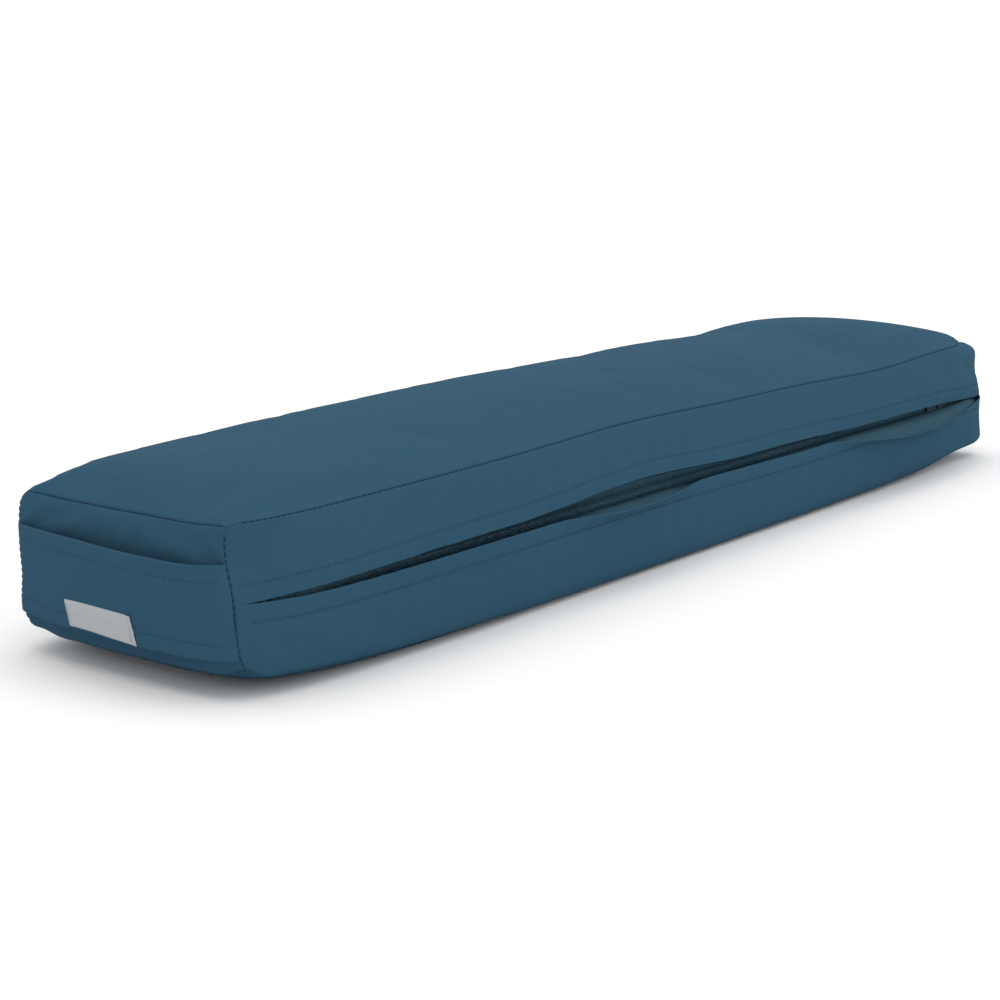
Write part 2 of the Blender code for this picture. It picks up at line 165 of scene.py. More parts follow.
EDGE_STEPS = (0.0, 0.0004, 0.0008, 0.0013, 0.0021, 0.0034, 0.0052, 0.0078)
GRID_STEP = 0.0042


# Arrays and meshes ----


def spread(length, step):
    """Distances from 0 to length, close together at both ends."""
    near = np.array(EDGE_STEPS)
    count = max(2, int(round((length - 2 * near[-1]) / step)))
    inner = np.linspace(near[-1], length - near[-1], count + 1)[1:-1]
    return np.concatenate([near, inner, length - near[::-1]])


def bell(distance, reach):
    """1 at no distance, falling off smoothly over reach."""
    return np.exp(-((distance / reach) ** 2))


def ease(t):
    """A smooth step from 0 to 1."""
    return t * t * (3 - 2 * t)


def waves(x, bumps):
    """Sum at x of smooth bumps, each given as its middle, half length and height."""
    return sum(height * bell(x - middle, half) for middle, half, height in bumps)


def unit(vectors):
    return vectors / np.linalg.norm(vectors, axis=-1, keepdims=True)


def uv_metres(a, b):
    return np.stack(np.meshgrid(a, b, indexing="ij"), -1)


def link(name, data):
    obj = bpy.data.objects.new(name, data)
    bpy.context.scene.collection.objects.link(obj)
    return obj


def set_uvs(mesh, uv):
    """Gives the mesh UVs from one place per vertex, in metres."""
    layer = mesh.uv_layers.new(name="cloth")
    loops = np.zeros(len(mesh.loops), int)
    mesh.loops.foreach_get("vertex_index", loops)
    layer.data.foreach_set("uv", uv.reshape(-1, 2)[loops].astype(np.float32).ravel())


def outward_faces(mesh):
    bm = bmesh.new()
    bm.from_mesh(mesh)
    bmesh.ops.recalc_face_normals(bm, faces=bm.faces)
    bm.to_mesh(mesh)
    bm.free()


def closed_object(name, points, faces, look):
    """A smooth closed mesh that has its faces outward."""
    mesh = bpy.data.meshes.new(name)
    mesh.from_pydata(points.reshape(-1, 3).tolist(), [], faces)
    outward_faces(mesh)
    mesh.shade_smooth()
    mesh.materials.append(look)
    return link(name, mesh)


def grid_quads(index):
    """The quads between neighbours in a grid of vertex numbers."""
    return np.stack([index[:-1, :-1], index[1:, :-1], index[1:, 1:], index[:-1, 1:]], -1).reshape(-1, 4)


def grid_object(name, points, uv, outward):
    """A sheet of quads through an array of points, its faces towards outward, with UVs in metres."""
    flat = points.reshape(-1, 3)
    quads = grid_quads(np.arange(len(flat)).reshape(points.shape[:2]))
    across = np.cross(flat[quads[:, 1]] - flat[quads[:, 0]], flat[quads[:, 3]] - flat[quads[:, 0]]).sum(0)
    if across @ np.array(outward) < 0:
        quads = quads[:, ::-1]
    mesh = bpy.data.meshes.new(name)
    mesh.from_pydata(flat.tolist(), [], quads.tolist())
    set_uvs(mesh, uv)
    mesh.shade_smooth()
    return link(name, mesh)


def baked(obj):
    """Applies the object's modifiers to its mesh."""
    evaluated = obj.evaluated_get(bpy.context.evaluated_depsgraph_get())
    mesh = bpy.data.meshes.new_from_object(evaluated)
    obj.modifiers.clear()
    obj.data = mesh
    return obj


def shell(obj, thickness):
    """Gives a sheet its thickness, inwards from the surface it has."""
    solid = obj.modifiers.new("thickness", "SOLIDIFY")
    solid.thickness = thickness
    solid.offset = -1.0
    baked(obj)
    obj.data.set_sharp_from_angle(angle=math.radians(70))
    return obj


# The stuffed cover ----


def fullness(u, power):
    """1 along the middle of the cover, falling to 0 at its ends."""
    return 1 - np.abs(u) ** power


def half_width(u, w):
    """Half the cover's width, widest halfway up between the long seams."""
    swell = SEAM_HALF_WIDTH - CORNER_HALF_WIDTH
    bulge = (WIDEST - SEAM_HALF_WIDTH) * (1 - w * w)
    return CORNER_HALF_WIDTH + fullness(u, SIDE_POWER) * (swell + bulge)


def rise(u, v):
    """Height of the top above the zip line."""
    full = fullness(u, CROWN_POWER)
    x = u * HALF_LENGTH
    front = waves(x, TOP_FRONT_WAVES) * (1 - v) / 2
    rear = waves(x, TOP_REAR_WAVES) * (1 + v) / 2
    crown = (CROWN + waves(x, CROWN_WAVES)) * (1 - np.abs(v) ** CROWN_ROUND)
    return CORNER_RISE + full * (SEAM_RISE - CORNER_RISE + crown + front + rear)


def drop(u, v):
    """Depth of the bottom below the zip line, which the floor flattens."""
    full = fullness(u, CROWN_POWER)
    front = waves(u * HALF_LENGTH, BOTTOM_FRONT_WAVES) * (1 - v) / 2
    deep = CORNER_DROP + full * (SEAM_DROP - CORNER_DROP + BOTTOM_BELLY * (1 - v * v) - front)
    deep = deep + END_SAG * (1 - full) * (1 - v**6)
    floor = ZIP_Z - FLOOR_GAP
    return floor - np.logaddexp(0, (floor - deep) / FLOOR_SOFTNESS) * FLOOR_SOFTNESS


def cover_point(u, v, w):
    """The smooth skin of the cover at u, v, w from -1 to 1 along X, Y and Z, before any seam is drawn in."""
    at_end = (np.abs(u) > 0.99999) * 1.0
    under = np.clip(1 - (1 + w) * CORNER_DROP / TUCK, 0, 1)
    tuck = TUCK * (1 - np.sqrt(1 - under * under))
    x = u * (HALF_LENGTH - tuck + END_BULGE * (1 - v * v) * (1 - w * w) * at_end)
    side = waves(u * HALF_LENGTH, SIDE_WAVES) * (1 - w * w) * fullness(u, SIDE_POWER)
    y = v * (half_width(u, w) + side - tuck)
    z = ZIP_Z + np.where(w > 0, w * rise(u, v), w * drop(u, v))
    for end, edge, middle, half, bow in CORNER_BOWS:
        near = bell((u - end) * HALF_LENGTH, CORNER_BOW_REACH) * bell(w - middle, half)
        y = y + edge * bow * near * np.clip((1 + edge * v) / 2, 0, 1) ** 2
    out = np.stack([BODY_X + x, y, z], -1)
    turned = np.clip(1 - (1 - w) * CORNER_RISE / ROUNDED_DEPTH, 0, 1) ** ROUNDED_POWER
    for end, edge, shift in ROUNDED_CORNERS:
        away = np.hypot((u - end) * HALF_LENGTH, (v - edge) * SEAM_HALF_WIDTH)
        out[..., :2] += (turned * bell(away, ROUNDED_REACH))[..., None] * np.array(shift)
    start = out
    for end, edge, level, reach, shift in CORNER_TIPS:
        drawn = TUCK if level < 0 else 0
        height = -CORNER_DROP if level < 0 else CORNER_RISE
        tip = (BODY_X + end * (HALF_LENGTH - drawn), edge * (CORNER_HALF_WIDTH - drawn), ZIP_Z + height)
        near = bell(np.linalg.norm(start - np.array(tip), axis=-1), reach)
        out = out + near[..., None] * np.array(shift)
    return out


def seam_pull(distance, roll):
    """How far the skin is drawn in at a distance from a seam: a soft roll and a narrow groove."""
    return roll * np.exp(-distance / SEAM_ROUND_REACH) + GROOVE * bell(distance, GROOVE_HALF)


def twelve_seams():
    """For each seam of the cover: the axis along it, the two across it, the side on each, and outward."""
    for along, a, b in ((2, 0, 1), (1, 0, 2), (0, 1, 2)):
        for sa in (-1, 1):
            for sb in (-1, 1):
                out = np.zeros(3)
                out[a], out[b] = sa, sb
                yield along, a, b, sa, sb, out / math.sqrt(2)


def seams_drawn_in(u, v, w):
    """The pull of all the seams at u, v, w, the same for every panel that shares a place."""
    reach = (HALF_LENGTH, SEAM_HALF_WIDTH, (SEAM_RISE + SEAM_DROP) / 2)
    place = (u, v, w)
    total = 0
    for along, a, b, sa, sb, out in twelve_seams():
        distance = np.hypot((1 - sa * place[a]) * reach[a], (1 - sb * place[b]) * reach[b])
        share = LOW_SEAM_SHARE if b == 2 and sb < 0 else 1
        total = total - seam_pull(distance, SEAM_ROUNDS[2 - along] * share)[..., None] * out
    return total


PANELS = {"top": (2, 1), "bottom": (2, -1), "front": (1, -1), "rear": (1, 1), "near": (0, -1), "far": (0, 1)}
SPANS = (2 * HALF_LENGTH, 2 * SEAM_HALF_WIDTH, SEAM_RISE + SEAM_DROP)


def skin(panel, u, v, w, inner=False):
    """The finished outer skin of one panel of the cover, or of the liner inside it, at u, v, w."""
    u, v, w = np.broadcast_arrays(np.asarray(u, float), v, w)
    first, second = [place for axis, place in enumerate((u, v, w)) if axis != PANELS[panel][0]]
    points = cover_point(u, v, w) + moved(panel, first, second) + seams_drawn_in(u, v, w)
    if inner:
        points = inside(points + LINER_SEAM_SHARE * seams_drawn_in(u, v, w))
    points[..., 2] = np.maximum(points[..., 2], LOWEST)
    return points


def inside(points):
    """The same places on the liner, which the cover leaves a little room and the zip a little more."""
    out = points.copy()
    out[..., 0] = BODY_X + (points[..., 0] - BODY_X) * (1 - LINER_END_GAP / HALF_LENGTH)
    recess = LINER_ZIP_GAP * bell(points[..., 2] - ZIP_Z, LINER_ZIP_REACH) * (points[..., 1] < 0)
    out[..., 1] = points[..., 1] * (1 - (LINER_SIDE_GAP + recess) / WIDEST)
    out[..., 2] = ZIP_Z + (points[..., 2] - ZIP_Z) * (1 - LINER_FLAT_GAP / ZIP_Z)
    return out


def finish_cloth(obj, look):
    obj.data.materials.append(look)
    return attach(obj, "cover")


def panel_piece(name, panel, look, inner=False):
    """One flat panel of the cover or the liner, from seam to seam, as a closed thin shell."""
    axis, side = PANELS[panel]
    first, second = [spread(SPANS[k], GRID_STEP * (1 + inner)) for k in range(3) if k != axis]
    a, b = (2 * first / first[-1] - 1)[:, None], (2 * second / second[-1] - 1)[None, :]
    place = [a, b]
    place.insert(axis, float(side))
    outward = [0, 0, 0]
    outward[axis] = side
    obj = grid_object(name, skin(panel, *place, inner), uv_metres(first, second), outward)
    return finish_cloth(shell(obj, CANVAS / 2 if inner else CANVAS), look)


def lip_height(x, side):
    """Height of a lip's edge above the zip line, along X. It is negative for the lower lip."""
    if side > 0:
        return UPPER_LIP + waves(x, UPPER_LIP_WAVES)
    return -(LOWER_LIP - waves(x, LOWER_LIP_WAVES))


def flare_angle(x):
    """How far the lower lip has turned out about its topstitch, in radians."""
    turn = 0 * x
    for start, end, degrees, peak in FLARES:
        t = np.clip((x - start) / (end - start), 0, 1)
        t = np.where(t < peak, t / peak / 2, 0.5 + (t - peak) / (1 - peak) / 2)
        turn = turn + math.radians(degrees) * np.maximum(np.sin(math.pi * t), 0) ** 0.9
    return turn


def flap_turn(x, side):
    """How far the hem of a zip strip leans out, in radians."""
    return flare_angle(x) if side < 0 else 0 * x + math.radians(UPPER_HEM_LEAN)


def strip_lines(x, side):
    """Along a zip strip: the cover's half height, and how far its lip and topstitch are from the zip line."""
    u = x / HALF_LENGTH
    full = rise(u, -1.0) if side > 0 else drop(u, -1.0)
    edge = side * lip_height(x, side)
    return full, edge, edge + (UPPER_STITCH if side > 0 else LOWER_STITCH)


def side_row(x, side, height, full):
    """The zip side's skin along X at a distance from the zip line, above it or below."""
    return skin("front", x / HALF_LENGTH, -1.0, side * height / full)


def smoothed(x, values, reach):
    """Values along x, averaged over the neighbours within reach."""
    weights = bell(x[:, None] - x[None, :], reach) * np.gradient(x)[None, :]
    return weights @ values / weights.sum(1)[:, None]


def flap_frame(x, side):
    """At the topstitch: its points, the direction down the flap to the lip, and the direction out of it."""
    full, _, hinge = strip_lines(x, side)
    row = side_row(x, side, hinge, full)
    down = unit(smoothed(x, side_row(x, side, hinge - 0.004, full) - row, FLAP_SMOOTHING))
    out = unit(np.cross(down, np.array([1.0, 0, 0])))
    return row, down, out * np.where(out[:, 1] > 0, -1, 1)[:, None]


def zip_strip(name, side, look):
    """A strip beside the zip: its face down to the topstitch, its hem to the lip, a fold and a return."""
    s = spread(2 * HALF_LENGTH, STRIP_STEP)
    x = s - HALF_LENGTH
    full, edge, hinge = strip_lines(x, side)
    stitch = hinge - edge
    rows, lengths = [], []
    for share in spread(FACE_WIDTH, FACE_STEP) / FACE_WIDTH:
        rows.append(side_row(x, side, full - share * (full - hinge), full))
        lengths.append(share * FACE_WIDTH)
    hinge_row, down, out = flap_frame(x, side)
    turn = flap_turn(x, side)
    sewn = bell(HALF_LENGTH - np.abs(x), HEM_END_REACH)[:, None]
    for share in HEM_SHARES:
        reach = stitch * share
        bend = turn * np.minimum(1, 0.35 + 0.9 * share)
        lift = HEM_PROUD * min(1.0, share / 0.3)
        free = hinge_row + down * (reach * np.cos(bend) - lift * np.sin(bend))[:, None]
        free = free + out * (reach * np.sin(bend) + lift * np.cos(bend))[:, None]
        rows.append(free + (side_row(x, side, hinge - reach, full) - free) * sewn)
        lengths.append(FACE_WIDTH + float(reach.mean()))
    lip_row = rows[-1]
    along = down * np.cos(turn)[:, None] + out * np.sin(turn)[:, None]
    into = down * np.sin(turn)[:, None] - out * np.cos(turn)[:, None]
    for angle in FOLD_ANGLES:
        rows.append(lip_row + along * FOLD / 2 * math.sin(angle) + into * FOLD / 2 * (1 - math.cos(angle)))
        lengths.append(lengths[-1] + FOLD / 4)
    back_row = rows[-1]
    for share in (0.2, 0.4, 0.6, 0.8, 1.0):
        rows.append(back_row - along * (stitch * share * 0.97)[:, None])
        lengths.append(lengths[-1] + 0.0016)
    obj = grid_object(name, np.stack(rows, 1), uv_metres(s, np.array(lengths)), (0, -1, 0))
    return finish_cloth(shell(obj, CANVAS / 2), look)


# Cloth simulation ----

SIM_CELLS = (140, 32, 16)  # cells of the simulated cover along X, Y and Z
SIM_FRAMES = 20
SIM_PRESSURE = 4.0
SIM_CAP = 0.0036  # no place moves further than this
SIM_SMOOTHINGS = 70  # what these leave of the movement is the broad swell, and the rest is detail
SIM_SWELL_KEPT = 0.06
SIM_DETAIL_KEPT = 0.75
SIM = {}  # how each panel moved, as a grid of vectors
# Reaches of the places that are gathered or held: at seams, corners, the zip, the floor and the band
GATHER_REACH = 0.006
CORNER_REACH = 0.010
ZIP_ROWS_REACH = 0.011
RESTING_REACH = 0.02
BAND_BELOW = 0.004
BAND_REACH = 0.026


def lattice():
    """Vertices of the surface lattice and, for each panel, the index of every place on it."""
    shape = tuple(n + 1 for n in SIM_CELLS)
    number = -np.ones(shape, int)
    outer = np.zeros(shape, bool)
    outer[[0, -1], :, :] = outer[:, [0, -1], :] = outer[:, :, [0, -1]] = True
    number[outer] = np.arange(outer.sum())
    places = np.argwhere(outer) / np.array(SIM_CELLS) * 2 - 1
    panels = {}
    for name, (axis, side) in PANELS.items():
        panels[name] = np.take(number, -1 if side > 0 else 0, axis=axis)
    return places, panels


def cloth_weights(places):
    """How firmly each place is held and how much it is gathered, from 0 to 1."""
    u, v, w = places.T
    height = w * SPANS[2] / 2
    reach = (1 - np.abs(places)) * np.array(SPANS) / 2
    to_seam, to_corner = np.sort(reach, axis=1)[:, 1:].T
    generator = np.random.default_rng(7)
    gathered = bell(to_seam, GATHER_REACH) * (0.6 + 0.4 * generator.random(len(places)))
    zip_rows = (v < -0.999) * np.exp(-((height / ZIP_ROWS_REACH) ** 4))
    resting = (w < -0.999) * np.clip(to_seam / RESTING_REACH, 0, 1)
    under_band = (u < -0.999) * np.exp(-(((height + BAND_BELOW) / BAND_REACH) ** 4)) * 0.8
    corners = 0.9 * bell(to_corner, CORNER_REACH)
    return np.clip(np.maximum.reduce([zip_rows, resting, under_band, corners]), 0, 1), gathered


def cloth_shift(obj, start):
    """How far each vertex moves when the object is inflated as cloth."""
    cloth = obj.modifiers.new("cloth", "CLOTH")
    settings = cloth.settings
    settings.quality, settings.mass = 6, 0.25
    settings.tension_stiffness = settings.compression_stiffness = 18
    settings.shear_stiffness, settings.bending_stiffness = 6, 0.08
    settings.vertex_group_mass, settings.pin_stiffness = "held", 1.0
    settings.vertex_group_shrink, settings.shrink_min, settings.shrink_max = "gathered", -0.012, 0.03
    settings.use_pressure, settings.uniform_pressure_force = True, SIM_PRESSURE
    settings.effector_weights.gravity = 0
    cloth.point_cache.frame_start, cloth.point_cache.frame_end = 1, SIM_FRAMES
    for number in range(1, SIM_FRAMES + 1):
        bpy.context.scene.frame_set(number)
    end = np.zeros(len(start) * 3)
    obj.evaluated_get(bpy.context.evaluated_depsgraph_get()).to_mesh().vertices.foreach_get("co", end)
    bpy.context.scene.frame_set(1)
    return end.reshape(-1, 3) - start


def neighbour_average(values, edges, count):
    """Each vertex's values averaged half and half with those of its neighbours."""
    total = np.zeros_like(values)
    for here, there in (edges.T, edges.T[::-1]):
        total += np.stack([np.bincount(here, values[there, k], len(values)) for k in range(3)], -1)
    return 0.5 * values + 0.5 * total / count


def simulate_cover():
    """Inflates the cover as cloth gathered along its seams, and keeps how each place moved."""
    places, panels = lattice()
    start = cover_point(*places.T)
    faces = np.concatenate([grid_quads(grid) for grid in panels.values()])
    mesh = bpy.data.meshes.new("inflated_cover")
    mesh.from_pydata(start.tolist(), [], faces.tolist())
    outward_faces(mesh)
    obj = link("inflated_cover", mesh)
    for name, weights in zip(("held", "gathered"), cloth_weights(places)):
        group = obj.vertex_groups.new(name=name)
        for index, weight in enumerate(weights):
            if weight > 0.01:
                group.add([index], float(weight), "REPLACE")
    shift = cloth_shift(obj, start)
    bpy.data.objects.remove(obj)
    edges = np.concatenate([faces[:, [k, (k + 1) % 4]] for k in range(4)])
    count = np.bincount(edges.ravel(), minlength=len(start))[:, None]
    swell = shift
    for _ in range(SIM_SMOOTHINGS):
        swell = neighbour_average(swell, edges, count)
    shift = (shift - swell) * SIM_DETAIL_KEPT + swell * SIM_SWELL_KEPT
    length = np.linalg.norm(shift, axis=1, keepdims=True)
    shift = shift * SIM_CAP / np.sqrt(SIM_CAP**2 + length**2)
    for name, grid in panels.items():
        SIM[name] = shift[grid]


def moved(panel, a, b):
    """How the simulation moved a panel's skin at the given places: nothing if it hasn't run."""
    if panel not in SIM:
        return 0
    field = SIM[panel]
    return cubic_sample(field, (a + 1) / 2 * (field.shape[0] - 1), (b + 1) / 2 * (field.shape[1] - 1))


def cubic_weights(t):
    """Catmull-Rom weights of four neighbours in a row."""
    t2, t3 = t * t, t * t * t
    return [(-t3 + 2 * t2 - t) / 2, (3 * t3 - 5 * t2 + 2) / 2, (-3 * t3 + 4 * t2 + t) / 2, (t3 - t2) / 2]


def cubic_sample(field, i, j):
    """Smooth sampling of a grid of vectors at fractional places."""
    i0 = np.clip(np.floor(i).astype(int), 0, field.shape[0] - 2)
    j0 = np.clip(np.floor(j).astype(int), 0, field.shape[1] - 2)
    wi, wj = cubic_weights(i - i0), cubic_weights(j - j0)
    total = 0
    for a in range(4):
        for b in range(4):
            at_i = np.clip(i0 + a - 1, 0, field.shape[0] - 1)
            at_j = np.clip(j0 + b - 1, 0, field.shape[1] - 1)
            total = total + field[at_i, at_j] * (wi[a] * wj[b])[..., None]
    return total


# Materials ----

SLUBS = ((60.0, 900.0, 1.0), (900.0, 60.0, 1.0))  # noise stretched along the weft and along the warp
SLUB_TONE = 0.05


class Nodes:
    """A material's node tree, built in reading order."""

    def __init__(self, name):
        self.material = bpy.data.materials.new(name)
        self.material.use_nodes = True
        self.tree = self.material.node_tree
        self.shader = self.tree.nodes["Principled BSDF"]

    def add(self, kind, **settings):
        node = self.tree.nodes.new(kind)
        for key, value in settings.items():
            setattr(node, key, value)
        return node

    def set(self, node, values=(), **named):
        """Links or sets a node's inputs, given by number or name."""
        for key, value in {**dict(values), **named}.items():
            if isinstance(value, bpy.types.NodeSocket):
                self.tree.links.new(value, node.inputs[key])
            else:
                node.inputs[key].default_value = value
        return node

    def math(self, operation, *values):
        return self.set(self.add("ShaderNodeMath", operation=operation), enumerate(values)).outputs[0]

    def noise(self, vector, scale, detail=3.0, roughness=0.5):
        node = self.add("ShaderNodeTexNoise")
        self.set(node, Vector=vector, Scale=scale, Detail=detail, Roughness=roughness)
        return node.outputs["Fac"]

    def tint(self, factor, colour, low, high, *between):
        """Colours the surface by a factor: each stop is its place and its share of the colour."""
        node = self.add("ShaderNodeValToRGB")
        stops = node.color_ramp.elements
        ends = list(stops)
        ends[0].position, ends[1].position = low[0], high[0]
        for stop, (_, share) in zip(ends, (low, high)):
            stop.color = (*shade(colour, share), 1)
        for place, share in between:
            stops.new(place).color = (*shade(colour, share), 1)
        self.set(node, Fac=factor)
        self.set(self.shader, {"Base Color": node.outputs["Color"]})

    def bump(self, height, strength, distance):
        node = self.set(self.add("ShaderNodeBump"), Height=height, Strength=strength, Distance=distance)
        self.set(self.shader, Normal=node.outputs["Normal"])

    def place(self):
        return self.add("ShaderNodeTexCoord").outputs["Object"]

    def shine(self, roughness, specular):
        self.set(self.shader, {"Roughness": roughness, "Specular IOR Level": specular})


def shade(colour, share):
    return tuple(c * share for c in colour)


def cloth_material(name, colour, pitch, weave, roughness, mottling=0.06):
    """A plain weave of the given thread pitch on the piece's own UVs, which are in metres."""
    n = Nodes(name)
    uv = n.add("ShaderNodeUVMap", uv_map="cloth").outputs["UV"]
    split = n.set(n.add("ShaderNodeSeparateXYZ"), Vector=uv)
    place = n.place()
    warp, weft = [n.math("SINE", n.math("MULTIPLY", split.outputs[way], math.pi / pitch)) for way in "XY"]
    cross = n.math("MULTIPLY", warp, weft)
    stretched = [n.set(n.add("ShaderNodeMapping"), Vector=uv, Scale=scale) for scale in SLUBS]
    slubs = n.math("ADD", *[n.noise(node.outputs["Vector"], 1.0, 2.0) for node in stretched])
    fuzz = n.noise(place, 2600.0, 2.0)
    broad = n.noise(place, 14.0, 4.0)
    tone = n.math("ADD", n.math("MULTIPLY", broad, mottling * 2), n.math("MULTIPLY", slubs, SLUB_TONE))
    tone = n.math("ADD", tone, n.math("MULTIPLY", cross, 0.05))
    tone = n.math("ADD", tone, 0.5 - mottling - SLUB_TONE)
    n.tint(tone, colour, (0.30, 0.80), (0.70, 1.20), (0.5, 1))
    n.shine(n.math("ADD", n.math("MULTIPLY", fuzz, 0.10), roughness - 0.05), 0.05)
    height = n.math("ADD", n.math("MULTIPLY", slubs, 0.8), n.math("MULTIPLY", fuzz, 0.5))
    n.bump(n.math("ADD", cross, height), weave, pitch * 0.25)
    return n.material


def thread_material(name, colour):
    n = Nodes(name)
    twist = n.noise(n.place(), 3500.0, 2.0)
    n.tint(twist, colour, (0.3, 0.75), (0.7, 1.15))
    n.bump(twist, 0.5, 0.0001)
    n.shine(0.85, 0.1)
    return n.material


def enamel_material(name, colour):
    """Dark satin enamel over cast zinc, a little uneven."""
    n = Nodes(name)
    place = n.place()
    wear = n.noise(place, 900.0, 6.0, 0.7)
    n.tint(wear, colour, (0.35, 0.8), (0.65, 1.3))
    n.shine(n.math("ADD", n.math("MULTIPLY", wear, 0.25), 0.50), 0.06)
    n.bump(n.noise(place, 2400.0, 3.0), 0.15, 0.0001)
    return n.material


def coil_material(name, colour):
    n = Nodes(name)
    tone = n.noise(n.place(), 700.0, 3.0)
    n.tint(tone, colour, (0.35, 0.8), (0.65, 1.25))
    n.shine(n.math("ADD", n.math("MULTIPLY", tone, 0.2), 0.4), 0.15)
    return n.material


# Threads ----


def capsule_object(name, stitches, radius, look, sides=6):
    """Many short threads, each a closed capsule from its start to its end."""
    starts, ends = stitches
    reach = ends - starts
    axis = unit(reach)
    helper = np.where(np.abs(axis[:, 2:3]) < 0.9, [[0.0, 0, 1]], [[1.0, 0, 0]])
    first = unit(np.cross(axis, helper))
    second = np.cross(axis, first)
    rings = ((0.0, 0.35), (0.12, 0.85), (0.5, 1.0), (0.88, 0.85), (1.0, 0.35))
    points = []
    for along, size in rings:
        for angle in np.arange(sides) * 2 * math.pi / sides:
            around = first * math.cos(angle) + second * math.sin(angle)
            points.append(starts + reach * along + radius * size * around)
    points = np.stack(points, 1)
    faces = []
    for ring in range(len(rings) - 1):
        for k in range(sides):
            a, b = ring * sides + k, ring * sides + (k + 1) % sides
            faces.append((a, b, b + sides, a + sides))
    caps = [tuple(range(sides))[::-1], tuple(range((len(rings) - 1) * sides, len(rings) * sides))]
    every = []
    for number in range(len(points)):
        every += [tuple(i + number * points.shape[1] for i in face) for face in faces + caps]
    return closed_object(name, points, every, look)


def stitches_on(line, pitch=STITCH_PITCH, long=STITCH_LONG):
    """Starts and ends of the stitches along a dense line of points."""
    run = np.concatenate([[0], np.cumsum(np.linalg.norm(np.diff(line, axis=0), axis=1))])
    begin = np.arange(pitch, run[-1] - pitch, pitch)
    return [np.stack([np.interp(at, run, line[:, k]) for k in range(3)], 1) for at in (begin, begin + long)]


def joined(lines):
    """Starts and ends of the stitches of several lines."""
    return [np.concatenate(ends) for ends in zip(*lines)]


# Handle band ----

BAND_HALF = CORNER_HALF_WIDTH
BAND_OFF = 0.0027  # the band's face stands this far off the cover's end next to the corner seams
BAND_STAND = HANDLE_END_X - BAND_LOW.x - BAND_OFF
BAND_THICK = 0.0020
BAND_WIDTH = 0.043
BAND_POWER = 2.2
BAND_HEM = 0.0075
BAND_TOP = 0.0637
BAND_TOP_WAVES = ((0.028, 0.030, 0.0012), (-0.048, 0.018, -0.0014))
BAND_BOTTOM = 0.0197
BAND_BOTTOM_WAVES = ((0.015, 0.035, 0.0013), (-0.050, 0.015, -0.0006))
BAND_SEWN_FROM = 0.955  # from this share of the way to the corner the band is drawn in to its seam
BAND_SEWN_DEPTH = 0.0026
# Y of a place on each half towards its middle, and the height of it and of a place at the half's corner
BAND_FREE_Y = 0.034
BAND_FREE_Z = 0.04


def band_edges(y):
    """Heights of the band's lower and upper edge."""
    return BAND_BOTTOM + waves(y, BAND_BOTTOM_WAVES), BAND_TOP + waves(y, BAND_TOP_WAVES)


def band_end(side, z):
    """Y of the band's end, which is sewn into the bowed corner seam."""
    w = (z - ZIP_Z) / CORNER_RISE
    y = side * CORNER_HALF_WIDTH + 0 * z
    for end, edge, middle, half, bow in CORNER_BOWS:
        if end < 0 and edge == side:
            y = y + edge * bow * bell(w - middle, half)
    return y


def band_face(y, z):
    """X of the band's outer face."""
    low, top = band_edges(y)
    share = np.clip((z - low) / (top - low), 0, 1)
    across = np.clip(np.abs(y) / BAND_HALF, 0, 1)
    full = 1 - across**BAND_POWER
    x = HANDLE_END_X - BAND_OFF - BAND_STAND * full
    x = x + 0.0010 * full * (2 * share - 1) ** 2 - 0.0008 * full * share  # curled edges and a lean
    for line in (low + BAND_HEM, top - BAND_HEM):
        x = x + 0.00020 * bell(z - line, 0.0010)  # a groove along the stitching
    wave = np.sin(y * 118 + 0.6) * 0.00035 + np.sin(y * 61 + z * 90) * 0.00045
    x = x + wave * np.tanh(np.abs(y) / 0.02)
    return x + BAND_SEWN_DEPTH * ease(np.clip((across - BAND_SEWN_FROM) / (1 - BAND_SEWN_FROM), 0, 1))


def band_spot(y, z):
    """The place on the band's outer face for y before its ends are drawn out to the corner seams."""
    across = np.clip(np.abs(y) / BAND_HALF, 0, 1)
    end = np.where(y > 0, band_end(1, z), band_end(-1, z)) - np.sign(y) * BAND_HALF
    return np.stack([band_face(y, z), y + end * across**6, z], -1)


def band_piece(name, side, look):
    """Half of the band, from the middle to the corner at y = side * BAND_HALF, folded at both edges."""
    last = BAND_HALF - np.array([0.004, 0.0022, 0.0008, 0.0])
    y = side * np.concatenate([np.linspace(0, BAND_HALF - 0.006, 34), last])
    low, top = band_edges(y)
    fold = BAND_THICK / 2
    shares = np.concatenate([[0.0, 0.006, 0.02, 0.04], np.linspace(0.06, 0.94, 26), [0.96, 0.98, 0.994, 1.0]])
    rows, lengths = [], []

    def add(z, back, up, length):
        rows.append(band_spot(y, z) + np.array([back, 0, up]))
        lengths.append(length)

    for share in shares:
        add(low + fold + share * (top - low - 2 * fold), 0, 0, share * BAND_WIDTH)
    for angle in FOLD_ANGLES[:-1]:
        add(top - fold, fold * (1 - math.cos(angle)), fold * math.sin(angle), lengths[-1] + 0.0006)
    for share in shares[::-1]:
        add(low + fold + share * (top - low - 2 * fold), BAND_THICK, 0, (2 - share) * BAND_WIDTH)
    for angle in FOLD_ANGLES[:-1]:
        add(low + fold, fold * (1 + math.cos(angle)), -fold * math.sin(angle), lengths[-1] + 0.0006)
    points = np.stack(rows, 1)
    index = np.arange(points[..., 0].size).reshape(points.shape[:2])
    around = np.concatenate([index, index[:, :1]], 1)
    faces = grid_quads(around).tolist() + [index[0].tolist(), index[-1, ::-1].tolist()]
    obj = closed_object(name, points, faces, look)
    set_uvs(obj.data, uv_metres(y, np.array(lengths)))
    obj.data.set_sharp_from_angle(angle=math.radians(60))
    return obj


